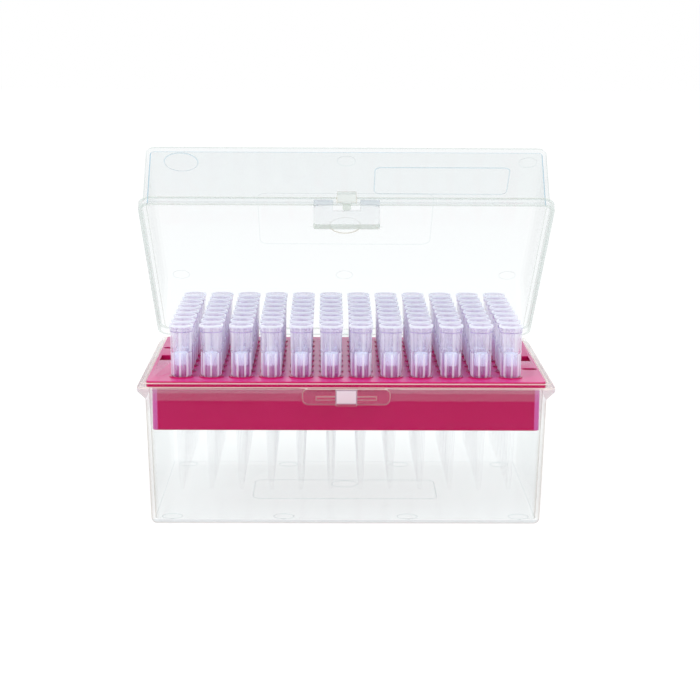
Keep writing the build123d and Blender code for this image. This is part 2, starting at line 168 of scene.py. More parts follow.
# %% Sky
SKY_WHITE = "FFFFFF"
SKY_GREY = "DDE1E4"
GREY_FROM, GREY_FULL = 0.25, 0.75  # sine of the height above the horizon
world = bpy.data.worlds.new("studio")
scene.world = world
world.use_nodes = True
sky = world.node_tree
sky.nodes.clear()
direction = add(sky, "ShaderNodeTexCoord")
height = add(sky, "ShaderNodeSeparateXYZ", {0: direction.outputs["Generated"]})
fade = add(sky, "ShaderNodeMapRange",
           {"Value": height.outputs["Z"], "From Min": GREY_FROM, "From Max": GREY_FULL})
sky_colour = add(sky, "ShaderNodeMix", {0: fade.outputs[0], 6: linear(SKY_WHITE), 7: linear(SKY_GREY)},
                 data_type="RGBA")
background = add(sky, "ShaderNodeBackground", {"Color": sky_colour.outputs[2], "Strength": 1.0})
add(sky, "ShaderNodeOutputWorld", {"Surface": background.outputs[0]})
print("sky runs from", SKY_WHITE, "to", SKY_GREY)

# %% [markdown]
# ## Lamps
#
# Two large, soft lamps stand in front, left and right, above the box. They put soft light on the
# front and a faint shadow behind it. A small lamp or the sun would draw hard shadows of 96 tips. They
# are weak, because the sky does most of the work and the magenta should render as it is written.


# %% Two soft lamps
def soft_lamp(name, place, target, size, power):
    """A square area lamp at place that faces target; metres and watts."""
    data = bpy.data.lights.new(name, "AREA")
    data.size = size
    data.energy = power
    lamp = bpy.data.objects.new(name, data)
    scene.collection.objects.link(lamp)
    lamp.location = place
    lamp.rotation_euler = (Vector(target) - Vector(place)).to_track_quat("-Z", "Y").to_euler()
    lamp.visible_transmission = False
    print("lamp", name, "gives", power, "W")


BOX_MIDDLE = (0, 0, 0.04)
soft_lamp("key", (-0.7, -0.6, 0.9), BOX_MIDDLE, 0.7, 7.5)
soft_lamp("fill", (0.8, -0.4, 0.6), BOX_MIDDLE, 0.6, 3.4)

# %% [markdown]
# ## Floor
#
# The box stands on white paper that has no visible edge. A bright lamp could make the paper white,
# but it would wash out the plastic as well. So the paper is lit like any paper, and only the rays
# from the camera, and those that come through plastic or off a gloss, find most of its white
# as glow. The rest is diffuse, and that share keeps the box's shadow.

# %% White paper
FLOOR_SIZE = 6.0
FLOOR_DROP = 0.0002  # keeps the floor just clear of the box's underside
PAPER_GLOW = 0.82
PAPER_SHADE = 0.24  # how strongly a shadow shows on the paper
half = FLOOR_SIZE / 2
floor_mesh = bpy.data.meshes.new("floor")
floor_corners = [(-half, -half, 0), (half, -half, 0), (half, half, 0), (-half, half, 0)]
floor_mesh.from_pydata(floor_corners, [], [(0, 1, 2, 3)])
floor = bpy.data.objects.new("floor", floor_mesh)
scene.collection.objects.link(floor)
floor.location.z = -FLOOR_DROP

paper, tree, output = new_material("white studio paper")
ray = add(tree, "ShaderNodeLightPath")
seen = add(tree, "ShaderNodeMath",
           {0: ray.outputs["Is Camera Ray"], 1: ray.outputs["Is Glossy Ray"]}, operation="MAXIMUM")
seen = add(tree, "ShaderNodeMath",
           {0: seen.outputs[0], 1: ray.outputs["Is Transmission Ray"]}, operation="MAXIMUM")
lit = add(tree, "ShaderNodeBsdfDiffuse", {"Color": linear("E6E6E6")})
shade = add(tree, "ShaderNodeBsdfDiffuse", {"Color": (PAPER_SHADE, PAPER_SHADE, PAPER_SHADE, 1)})
glow = add(tree, "ShaderNodeEmission", {"Color": linear("FFFFFF"), "Strength": PAPER_GLOW})
raised = add(tree, "ShaderNodeAddShader", {0: shade.outputs[0], 1: glow.outputs[0]})
both = add(tree, "ShaderNodeMixShader", {0: seen.outputs[0], 1: lit.outputs[0], 2: raised.outputs[0]})
tree.links.new(both.outputs[0], output.inputs["Surface"])
floor.data.materials.append(paper)
print("floor is", FLOOR_SIZE, "m wide")

# %% [markdown]
# ## Clear polypropylene
#
# Polypropylene is moulded into walls of about a millimetre. Glass nodes could bend the light through
# each wall, but a thin flat wall hardly shifts the view, and with forty surfaces the render would
# stay grainy. So each face is treated as a thin sheet. Light goes straight through and takes on a
# little tint, more of it the more slanted the face is, because the way through the plastic is longer
# there. A weak mirror grows towards grazing angles, as Schlick's formula has it.
#
# With an index of 1.49, polypropylene mirrors 4 % straight on. Less is used here, because so many
# faces stand behind each other that their shares would add up to a white veil. The mould is polished,
# so the mirror is sharp, with a roughness of 0.04.
#
# Polypropylene is never quite as clear as glass, because its small crystals scatter a little light.
# A share of diffuse and translucent light, half and half, stands for that haze.


# %% Clear plastic
SCHLICK_POWER = 5.0


def clear_plastic(name, tint, edge_tint, falloff, haze, haze_colour, mirror=0.012, roughness=0.04,
                  grain_mm=0.0, grain_scale_mm=1.0, drawn_haze=False, most_mirror=1.0):
    """A clear moulding.

    tint and edge_tint are seen straight on and along the surface; a high falloff keeps edge_tint to
    very slanted faces. haze is the share of scattered light and haze_colour its colour. drawn_haze
    takes both from the attributes haze and tone of the mesh instead.
    """
    material, tree, output = new_material(name)
    slant = add(tree, "ShaderNodeLayerWeight", {"Blend": 0.5})
    edge = add(tree, "ShaderNodeMath", {0: slant.outputs["Facing"], 1: falloff}, operation="POWER")
    colour = add(tree, "ShaderNodeMix", {0: edge.outputs[0], 6: linear(tint), 7: linear(edge_tint)},
                 data_type="RGBA")
    through = add(tree, "ShaderNodeBsdfTransparent", {"Color": colour.outputs[2]})
    grazing = add(tree, "ShaderNodeMath", {0: slant.outputs["Facing"], 1: SCHLICK_POWER},
                  operation="POWER")
    schlick = add(tree, "ShaderNodeMath", {0: grazing.outputs[0], 1: most_mirror - mirror, 2: mirror},
                  operation="MULTIPLY_ADD")
    shine = add(tree, "ShaderNodeBsdfGlossy", {"Roughness": roughness})
    white = add(tree, "ShaderNodeBsdfDiffuse", {"Color": linear(haze_colour)})
    milk = add(tree, "ShaderNodeBsdfTranslucent", {"Color": linear(haze_colour)})
    if grain_mm:
        place = add(tree, "ShaderNodeTexCoord")
        grain = add(tree, "ShaderNodeTexNoise",
                    {"Vector": place.outputs["Object"], "Scale": 1 / (grain_scale_mm * MM), "Detail": 2.0})
        bump = add(tree, "ShaderNodeBump",
                   {"Height": grain.outputs[0], "Distance": grain_mm * MM, "Strength": 1.0})
        for lobe in (shine, white, milk):
            tree.links.new(bump.outputs[0], lobe.inputs["Normal"])
    clear = add(tree, "ShaderNodeMixShader",
                {0: schlick.outputs[0], 1: through.outputs[0], 2: shine.outputs[0]})
    cloud = add(tree, "ShaderNodeMixShader", {0: 0.5, 1: white.outputs[0], 2: milk.outputs[0]})
    whole = add(tree, "ShaderNodeMixShader", {0: haze, 1: clear.outputs[0], 2: cloud.outputs[0]})
    if drawn_haze:
        amount = add(tree, "ShaderNodeAttribute", attribute_name="haze")
        tone = add(tree, "ShaderNodeAttribute", attribute_name="tone")
        tree.links.new(amount.outputs["Fac"], whole.inputs[0])
        for lobe in (white, milk):
            tree.links.new(tone.outputs["Color"], lobe.inputs["Color"])
    tree.links.new(whole.outputs[0], output.inputs["Surface"])
    return material


# The polished flat walls of the box: their mirror never gets strong, or they would hide the tips.
POLISHED = {"mirror": 0.006, "most_mirror": 0.45}
print("a polished wall mirrors", POLISHED["mirror"], "straight on,", POLISHED["most_mirror"], "along it")

# %% [markdown]
# ## One tip
#
# A filter tip is a cone of natural polypropylene with a wall of 0.4 mm. It has a bevelled mouth, a
# brim with a fine groove under it, a sleeve, eight ribs that stand on the rack, and a shank in three
# tapers. It is thin-walled and closed all over, so its wall is one loop of points that is turned
# about the tip's axis. Blender's Spin or a Screw modifier could turn it, but a short function of our
# own can widen a ring where a rib stands and so gives it the ribs as well.
#
# A moulded tip isn't evenly clear. The mouth is thick and milky. The sleeve and the waist carry
# faint upright streaks of painted highlight and painted shade, at random strengths round the tip, in
# place of the lamps and surroundings that a clear cylinder mirrors and bends. Just above the rack the
# skin is tinted magenta: painted light from the rack, shining into the feet. The function writes that
# into two attributes of the mesh: how much haze the skin has at each point, and of which tone.

# %% Zones of a tip
# Each zone is a haze and its tone. Heights are in mm above the seat, where the ribs' feet stand.
BRIM = (0.88, "F6FCFF")  # milky and bluish
GROOVE = (0.66, "A08CC0")  # the thin line under the brim, which lies in its own shade
# Sleeve and waist: each pair runs from the darkest streak, which is painted shade, to the brightest, which is
# a painted highlight.
SLEEVE = ((0.06, "D8CCEA"), (0.58, "FBFCFF"))  # the darkest and the brightest streak
WAIST = ((0.05, "D2B4E6"), (0.28, "F6F6FF"))
# The feet's magenta is painted light, the rack's colour shining up into them, in the same painted streaks.
FOOT = ((0.42, "D258C0"), (0.56, "F2C8F6"))  # lit through by the magenta rack
RIB = (0.72, "F6FAFF")
SHANK = (0.003, "FCFCFE")  # thin and nearly clear
# The inside of the mouth is milky, and its lavender grey is painted shade.
MOUTH = (0.30, "E2D8EE")  # the upper part of the inside
TIP_ABOVE = 15.70
BRIM_FOOT = 15.0
GROOVE_TOP, GROOVE_FOOT = 13.70, 13.48
MOUTH_FOOT = 12.0
SLEEVE_FOOT = 8.0
FOOT_TOP = 3.0
SHANK_TOP = -0.1


def skin_at(height, on_rib, streak, is_inside):
    """Haze and linear tone of a tip's skin; streak runs from 0, the darkest, to 1, the brightest."""
    if height < SHANK_TOP:
        zone = SHANK
    elif is_inside:
        zone = MOUTH if height > MOUTH_FOOT else SHANK
    elif height > BRIM_FOOT:
        zone = BRIM
    elif height in (GROOVE_TOP, GROOVE_FOOT):
        zone = GROOVE
    elif on_rib:
        zone = RIB
    else:
        dark, bright = FOOT if height < FOOT_TOP else WAIST if height < SLEEVE_FOOT else SLEEVE
        tone = [a + (b - a) * streak for a, b in zip(linear(dark[1]), linear(bright[1]))]
        return dark[0] + (bright[0] - dark[0]) * streak, tone
    return zone[0], linear(zone[1])


print("haze on the brim", BRIM[0], "and on the shank", SHANK[0])

# %% Lathe with ribs
RIBS = 8
RIB_STEPS = (-5.0, 5.0, 6.8, 17.3, 27.7, 38.2)  # degrees round from a rib's middle: the rib, then the gap
ON_RIB = 2  # how many of the steps are on the rib
SHARP_FROM = math.radians(32)
# Each step round the tip gets a random streak strength: painted shade at 0 and painted highlight at 1.
streak_dice = random.Random(4)
PAINTED_STREAKS = [streak_dice.random() for step in range(RIBS * len(RIB_STEPS))]


def turned(name, rings, inside_from=None, closed=True):
    """A mesh turned about Z, with the attributes haze and tone.

    Each ring is (radius, height in mm) or (radius, height, radius on the ribs). Rings from number
    inside_from on are inside. A closed loop of rings is a wall, and an open one gets two flat ends.
    """
    angles = [math.radians(360 / RIBS * rib + step) for rib in range(RIBS) for step in RIB_STEPS]
    shape = bmesh.new()
    haze = shape.verts.layers.float.new("haze")
    tone = shape.verts.layers.float_color.new("tone")
    loops = []
    for number, (radius, height, *rib_radius) in enumerate(rings):
        is_inside = inside_from is not None and number >= inside_from
        loop = []
        for i, angle in enumerate(angles):
            on_rib = bool(rib_radius) and i % len(RIB_STEPS) < ON_RIB
            r = (rib_radius[0] if on_rib else radius) * MM
            vertex = shape.verts.new((r * math.cos(angle), r * math.sin(angle), height * MM))
            vertex[haze], vertex[tone] = skin_at(height, on_rib, PAINTED_STREAKS[i], is_inside)
            loop.append(vertex)
        loops.append(loop)
    pairs = list(zip(loops, loops[1:] + loops[:1])) if closed else list(zip(loops, loops[1:]))
    for low, high in pairs:
        for i in range(len(angles)):
            j = (i + 1) % len(angles)
            shape.faces.new((low[i], low[j], high[j], high[i]))
    if not closed:
        shape.faces.new(loops[0])
        shape.faces.new(loops[-1])
    bmesh.ops.recalc_face_normals(shape, faces=shape.faces)
    for face in shape.faces:
        face.smooth = True
    mesh = bpy.data.meshes.new(name)
    shape.to_mesh(mesh)
    shape.free()
    mesh.set_sharp_from_angle(angle=SHARP_FROM)
    print(name, "has", len(mesh.polygons), "faces")
    return mesh


# %% Turn one tip
# The outside runs from the mouth down to the point, and the inside runs back up.
outside = [
    (3.18, TIP_ABOVE), (3.48, TIP_ABOVE), (3.60, 15.62), (3.66, 15.45), (3.66, 15.20),  # bevelled mouth
    (3.58, 14.75), (3.46, 14.30), (3.40, 13.95), (3.40, 13.78),  # flare of the brim
    (3.33, GROOVE_TOP), (3.33, GROOVE_FOOT), (3.37, 13.42), (3.37, 13.28),  # groove and ring
    (3.28, 13.18), (3.24, 11.00), (3.18, 8.10), (3.26, 7.95), (3.26, 7.40),  # sleeve and its lower ring
    (3.18, 7.30), (2.60, 7.20, 3.17), (2.50, 7.00, 3.16), (2.50, 0.55, 3.12), (2.50, 0.05, 2.80),  # ribs
    (2.49, -0.20), (2.16, -6.00), (1.84, -11.0), (1.60, -15.00),  # first taper
    (1.42, -19.50), (1.26, -23.80), (1.19, -24.05), (1.06, -28.00), (0.96, -31.35),  # second taper
    (0.87, -31.60), (0.66, -33.40), (0.46, -34.90), (0.40, -35.00),  # point
]
inside = [
    (0.23, -35.00), (0.26, -34.00), (0.55, -31.50), (0.80, -25.00), (1.14, -15.00), (1.60, -7.50),
    (2.07, 0.50), (2.08, 3.10), (2.08, 7.60), (2.12, 8.00),  # the filter sits here
    (2.68, 8.30), (2.76, 10.0), (2.94, 14.50), (3.06, 15.40),  # socket for the pipette
]
tip_mesh = turned("tip pattern", outside + inside, inside_from=len(outside))

# Natural polypropylene, moulded against polished steel: clear, with the haze that its mesh carries and the
# painted light and shade of its tone.
tip_plastic = clear_plastic("natural moulded polypropylene", "FFFFFF", "EAE6F2", 7.0, 0.10, "FBFAFF",
                            drawn_haze=True)

# %% [markdown]
# ## One filter
#
# The filter is a plug of sintered polyethylene: beads of 0.2 mm, pressed and heated until they stick
# together. To the eye it is a matt, slightly bluish white with a fine grain. A cylinder primitive
# would do, but the same lathe gives it a bevel at both ends and the same steps round. The beads are
# a Voronoi pattern in a bump, because real beads would need far too many faces.

# %% Turn one filter
PLUG_RADIUS = 2.04
PLUG_BEVEL = 0.1
PLUG_FOOT, PLUG_TOP = 3.30, 7.05
BEAD_MM = 0.2
BEAD_DEPTH_MM = 0.08
plug_mesh = turned("plug pattern", [
    (PLUG_RADIUS - PLUG_BEVEL, PLUG_FOOT), (PLUG_RADIUS, PLUG_FOOT + PLUG_BEVEL),
    (PLUG_RADIUS, PLUG_TOP - PLUG_BEVEL), (PLUG_RADIUS - PLUG_BEVEL, PLUG_TOP)], closed=False)

filter_plastic, tree, output = new_material("sintered polyethylene")
place = add(tree, "ShaderNodeTexCoord")
beads = add(tree, "ShaderNodeTexVoronoi", {"Vector": place.outputs["Object"], "Scale": 1 / (BEAD_MM * MM)})
bump = add(tree, "ShaderNodeBump",
           {"Height": beads.outputs["Distance"], "Distance": BEAD_DEPTH_MM * MM, "Strength": 0.5})
plug = add(tree, "ShaderNodeBsdfPrincipled",
           {"Base Color": linear("DCE4F6"), "Roughness": 0.8, "IOR": 1.5, "Normal": bump.outputs[0]})
tree.links.new(plug.outputs[0], output.inputs["Surface"])

# %% [markdown]
# ## A row of tips by Geometry Nodes
#
# Twelve equal tips stand on a 9 mm pitch, the standard pitch of laboratory plates. An Array modifier
# could repeat them, but all copies would be turned the same way, and nobody lines up the ribs when a
# rack is filled. Geometry Nodes follow the rule and add the chance: a line of points, a tip on each
# point, and a random turn for each. The result is realised and becomes a plain mesh, one for each
# row. The filters go through the same tree.

# %% Row tree
row_tree = bpy.data.node_groups.new("row of parts", "GeometryNodeTree")
new_socket = row_tree.interface.new_socket
new_socket("Geometry", in_out="OUTPUT", socket_type="NodeSocketGeometry")
sockets = {}
for label, kind in (("Part", "Object"), ("Columns", "Int"), ("First place", "Vector"), ("Pitch", "Float"),
                    ("Seed", "Int"), ("Finish", "Material")):
    sockets[label] = new_socket(label, in_out="INPUT", socket_type="NodeSocket" + kind).identifier
source = add(row_tree, "NodeGroupInput")
step = add(row_tree, "ShaderNodeCombineXYZ", {"X": source.outputs["Pitch"]})
line = add(row_tree, "GeometryNodeMeshLine",
           {"Count": source.outputs["Columns"], "Start Location": source.outputs["First place"],
            "Offset": step.outputs[0]})
pattern = add(row_tree, "GeometryNodeObjectInfo", {"Object": source.outputs["Part"]})
spin = add(row_tree, "FunctionNodeRandomValue", {2: 0.0, 3: math.tau, "Seed": source.outputs["Seed"]},
           data_type="FLOAT")
turn = add(row_tree, "ShaderNodeCombineXYZ", {"Z": spin.outputs[1]})
placed = add(row_tree, "GeometryNodeInstanceOnPoints",
             {"Points": line.outputs[0], "Instance": pattern.outputs["Geometry"],
              "Rotation": turn.outputs[0]})
real = add(row_tree, "GeometryNodeRealizeInstances", {"Geometry": placed.outputs[0]})
dressed = add(row_tree, "GeometryNodeSetMaterial",
              {"Geometry": real.outputs[0], "Material": source.outputs["Finish"]})
add(row_tree, "NodeGroupOutput", {"Geometry": dressed.outputs[0]})
print("row tree has", len(row_tree.nodes), "nodes and the inputs", list(sockets))


# %% Run the tree
def pattern_object(name, mesh):
    """An object for the tree to copy; it goes once the rows are made."""
    piece = bpy.data.objects.new(name, mesh)
    scene.collection.objects.link(piece)
    return piece


def row_of(name, values):
    """Runs the tree with values for its named inputs and returns one row as a plain mesh object."""
    holder = bpy.data.objects.new(name + "_holder", bpy.data.meshes.new(name + "_holder"))
    scene.collection.objects.link(holder)
    modifier = holder.modifiers.new("row", "NODES")
    modifier.node_group = row_tree
    for label, value in values.items():
        modifier[sockets[label]] = value
    graph = bpy.context.evaluated_depsgraph_get()
    mesh = bpy.data.meshes.new_from_object(holder.evaluated_get(graph))
    bpy.data.objects.remove(holder)
    piece = bpy.data.objects.new(name, mesh)
    scene.collection.objects.link(piece)
    return piece


# %% Set out the rows
COLUMNS = 12
ROWS = "abcdefgh"  # from the front
PITCH = 9.0 * MM
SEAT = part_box("tips_row_a")[1].z - TIP_ABOVE * MM
FIRST_SEED = 11
tip_part = pattern_object("tip_pattern", tip_mesh)
plug_part = pattern_object("plug_pattern", plug_mesh)
for index, letter in enumerate(ROWS):
    first_place = (-(COLUMNS - 1) / 2 * PITCH, (index - (len(ROWS) - 1) / 2) * PITCH, SEAT)
    for kind, part, finish, material_slot in (("tips", tip_part, tip_plastic, "tip_pp"),
                                              ("filters", plug_part, filter_plastic, "filter_pe")):
        piece = row_of(f"{kind}_{letter}", {"Part": part, "Columns": COLUMNS, "First place": first_place,
                                            "Pitch": PITCH, "Seed": FIRST_SEED + index, "Finish": finish})
        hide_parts(f"{kind}_row_{letter}")
        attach(piece, "base")
bpy.data.objects.remove(tip_part)
bpy.data.objects.remove(plug_part)
print("rows set out from seat height", round(SEAT, 5))

# %% [markdown]
# ## The big mouldings
#
# A mould never leaves a perfectly sharp edge. Each CAD solid is copied, its triangles are joined to
# faces again, and a Bevel modifier rounds its sharp edges by one or two tenths of a millimetre. The
# Bevel node of a shader could fake the rounding, but it makes no geometry for the outline. The
# rounded edges get a finish of their own, because light that has travelled along inside a clear
# wall comes out there, and the edge looks milkier than the wall.

# %% Round the edges of a moulding
BEVEL_FROM = math.radians(25)
FLAT_WITHIN = math.radians(0.6)  # triangles that meet flatter than this become one face
SAME_PLACE = 1e-6  # metres


def moulded(name, body, material_slot, width_mm, *finishes):
    """A copy of a CAD solid with rounded edges. The finishes: walls, edges, then those of its places."""
    mesh = nodes[name].data.copy()
    shape = bmesh.new()
    shape.from_mesh(mesh)
    bmesh.ops.remove_doubles(shape, verts=shape.verts, dist=SAME_PLACE)
    bmesh.ops.dissolve_limit(shape, angle_limit=FLAT_WITHIN, verts=shape.verts, edges=shape.edges)
    shape.to_mesh(mesh)
    shape.free()
    mesh.materials.clear()
    for finish in finishes:
        mesh.materials.append(finish)
    for face in mesh.polygons:
        face.material_index = 0
    holder = bpy.data.objects.new(name + "_holder", mesh)
    scene.collection.objects.link(holder)
    bevel = holder.modifiers.new("bevel", "BEVEL")
    bevel.width = width_mm * MM
    bevel.segments = 2
    bevel.limit_method = "ANGLE"
    bevel.angle_limit = BEVEL_FROM
    bevel.use_clamp_overlap = False
    bevel.material = 1
    graph = bpy.context.evaluated_depsgraph_get()
    rounded = bpy.data.meshes.new_from_object(holder.evaluated_get(graph))
    bpy.data.objects.remove(holder)
    for face in rounded.polygons:
        face.use_smooth = True
    rounded.set_sharp_from_angle(angle=BEVEL_FROM)
    piece = bpy.data.objects.new(name + "_moulded", rounded)
    scene.collection.objects.link(piece)
    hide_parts(name)
    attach(piece, body)
    print(name, "has", sum(len(face.vertices) - 2 for face in rounded.polygons), "triangles")
    return piece


# %% [markdown]
# ## Finishes by place
#
# A moulding is one piece of plastic, but it doesn't look alike everywhere: thick places are milky,
# corners gather tint, and where steel pins pushed it out of the mould it has faint rings. Masks
# painted by hand could say where, but they would need an image. Here a list of boxes does it. Each
# box has a finish, and the faces whose middle lies in it get that finish, one box after the other.
#
# The boxes are in millimetres on the shut box. The lid stands open, so each of its faces is first
# turned shut about the hinge, and then its height and depth read as on a drawing.


# %% Give finishes to places
def dress(piece, places, to_shut=Matrix()):
    """Each place is a finish, three ranges in mm on the shut box, and the finishes that it may cover.

    The ranges are: how far left or right of the middle, from front to back, and height. Where no
    finish to cover is named, all faces in the box change.
    """
    slots = piece.data.materials
    middles = [(to_shut @ face.center) / MM for face in piece.data.polygons]
    for finish, aside, depth, height, *covered in places:
        number = slots.find(finish.name)
        may_cover = [slots.find(other.name) for other in covered]
        count = 0
        for face, (x, y, z) in zip(piece.data.polygons, middles):
            ranges = ((aside, abs(x)), (depth, y), (height, z))
            in_box = all(low <= value <= high for (low, high), value in ranges)
            if in_box and (not covered or face.material_index in may_cover):
                face.material_index = number
                count += 1
        print(piece.name, "has", count, "faces of", finish.name)


lid_hinge = next(joint for joint in frame["joints"] if joint["name"] == "lid_hinge")
HINGE = Vector(lid_hinge["pos_m"])
OPEN_ANGLE = -math.radians(lid_hinge["range_deg"][0])  # from shut to how the box stands
SHUT = Matrix.Translation(HINGE) @ Matrix.Rotation(OPEN_ANGLE, 4, "X") @ Matrix.Translation(-HINGE)
print("the lid stands", round(math.degrees(OPEN_ANGLE), 1), "degrees open")

# %% [markdown]
# ## The base
#
# The base is a deep clear tub with leaning walls. Near the top they turn out into a flare, which ends
# in an upright rim with a ledge for the lid and a thin lip. At the front are a landing for the
# lid's flap and a catch that the flap snaps over. One material could cover it all, but then the
# flare, the rim and the catch would be as invisible as the walls. So each gets a little more haze and
# tint than the wall, as much as its thickness and its curved faces give it.

# %% Finishes of the base
# Each has a name, its tint straight on and along the surface, a falloff, a haze and the haze's colour.
# Polished walls: hardly any haze. Only a wall seen along its surface takes on tint.
base_plastic = clear_plastic("clear moulded polypropylene, base", "FDFEFE", "EAE9E4", 60.0, 0.003, "FAFCFC",
                             **POLISHED)
# Rounded edges: warm and milky, because light leaves the wall there.
base_edge = clear_plastic("clear moulded polypropylene, base edges", "F4F0EC", "CFC9C2", 4.0, 0.30, "F2EAE2")
# The catch is a solid wedge, the thickest place of the base, and looks almost white.
catch_plastic = clear_plastic("clear moulded polypropylene, catch", "F8F6FA", "B9B4C4", 4.0, 0.93, "FAF9FF")
catch_edge = clear_plastic("clear moulded polypropylene, catch edges", "DCD4E2", "A9A0B6", 3.0, 0.6, "D2C9DA")
# Ejector rings and the panel's outline in the floor are 0.2 mm deep and only just show.
faint_edge = clear_plastic("clear moulded polypropylene, shallow marks", "F9FBFB", "E9EFF1", 4.0, 0.012,
                           "F2F5F6")
# Rim and flare stand before the magenta rack and lay a pale veil over it, the rim the stronger one.
rim_plastic = clear_plastic("clear moulded polypropylene, rim", "FCFBFA", "E4DED8", 8.0, 0.24, "F2EEF8")
flare_plastic = clear_plastic("clear moulded polypropylene, flare", "FCFBFA", "E4DED8", 8.0, 0.12, "F0EAFA")
# The lip's edge is thin and catches the light: a cream line round the rack.
lip_edge = clear_plastic("clear moulded polypropylene, lip edges", "FBF6F0", "E8DED4", 4.0, 0.7, "FFF8F0")
# The landing has the same cream outline, but lower and fainter.
landing_edge = clear_plastic("clear moulded polypropylene, landing edges", "FBF6F0", "E8DED4", 4.0, 0.32,
                             "FFF6EE")
# Upright corners turn the view aside and gather a warm grey well before they are seen edge on.
clear_corner = clear_plastic("clear moulded polypropylene, base corners", "FDFEFE", "CDC2B8", 1.5, 0.02,
                             "F4F0EC", **POLISHED)
# The rounded foot of the front wall reads as a soft grey band.
foot_edge = clear_plastic("clear moulded polypropylene, foot of the base", "EFF3F5", "D4C6BC", 1.5, 0.15,
                          "E6EAEE")
print("the base has ten finishes beside its plain wall")

# %% Make and dress the base
TUB_DEPTH = (-43.2, 43)  # from the front to just before the hinge barrel
base = moulded("base_box", "base", "clear_pp", 0.2, base_plastic, base_edge, catch_plastic, faint_edge,
               rim_plastic, flare_plastic, lip_edge, clear_corner, foot_edge, catch_edge, landing_edge)
dress(base, (
    (catch_edge, (0, 3.4), (-44, -42.7), (36.3, 42.3), base_edge),
    (catch_plastic, (0, 3.3), (-44, -42.7), (36.5, 42.3), base_plastic),
    (landing_edge, (0, 13.4), (-43.5, -41.2), (36.2, 42.0), base_edge),
    (lip_edge, (0, 63), (-43.3, 43), (42.1, 43.8), base_edge),
    (rim_plastic, (0, 63), TUB_DEPTH, (40.8, 42.05), base_plastic, base_edge),
    (flare_plastic, (0, 63), TUB_DEPTH, (38.0, 40.8), base_plastic, base_edge),
    (faint_edge, (0, 57.9), (-38.1, 38.1), (0.9, 1.6), base_edge),  # marks in the floor
    (foot_edge, (0, 60), (-40, -36.9), (0.05, 1.5), base_plastic),
    (clear_corner, (56.0, 60.4), (-40.5, -36.2), (1.4, 38.1), base_plastic),
))

# %% [markdown]
# ## The lid
#
# The lid is a shallow clear tray, upside down, with a skirt that goes over the base's lip. Its roof
# carries a round field for a sign, a label field, the gate where the plastic flowed in, and the
# rings of the ejector pins. All of these are steps of two or three tenths of a millimetre. If every
# edge had the same milky finish, the back of the lid would show through the roof as a cage of lines.
# So the walls and the rear edges are set back to plain wall, and only the edges that catch the light
# keep or get a finish.

# %% Finishes of the lid
# Polished walls, a trace greener than the base.
lid_plastic = clear_plastic("clear moulded polypropylene, lid", "FBFCFC", "E8ECE6", 60.0, 0.003, "FAFCFC",
                            **POLISHED)
lid_edge = clear_plastic("clear moulded polypropylene, lid edges", "F2F5F2", "CCD2CA", 4.0, 0.25, "EAEFE8")
# The block above the flap is solid and slightly yellow, as thick polypropylene is.
block_plastic = clear_plastic("clear moulded polypropylene, latch block", "F4F2EC", "C6C1B5", 4.0, 0.25,
                              "EAE5DA")
# Sign circle and label field: sharp little steps, which show as fine pale blue outlines.
mark_edge = clear_plastic("clear moulded polypropylene, roof marks", "EEF6F9", "B6D7E6", 4.0, 0.10, "DEEEF5")
# Ejector rings and centre panel: softer steps that nearly vanish.
ghost_edge = clear_plastic("clear moulded polypropylene, soft marks", "FAFCFC", "EDF2F4", 4.0, 0.01, "F4F6F6")
# Shoulder and outer edges of the roof: thicker, so they read as a pale grey-green line.
shoulder_plastic = clear_plastic("clear moulded polypropylene, lid shoulder", "F2F6F4", "DDE6E2", 4.0, 0.28,
                                 "E8EFEB")
# Inner edge between roof and walls: it bends the view up to the sky and shows pale blue.
blue_edge = clear_plastic("clear moulded polypropylene, inner roof edge", "C8E5F3", "A0CDE5", 4.0, 0.24,
                          "BCDFF0")
# The round field at the gate stands 0.3 mm proud, so its ring is plainer than the pins' rings.
gate_edge = clear_plastic("clear moulded polypropylene, gate ring", "EFEDE6", "D6D2C4", 3.0, 0.2, "E8E6DC")
# The front of the shoulder is the lid's thickest fold: a pale olive band.
front_shoulder = clear_plastic("clear moulded polypropylene, front shoulder", "E6E8DA", "CCD0BE", 3.0, 0.7,
                               "DFE2D2")
print("the lid has eight finishes beside its plain wall")

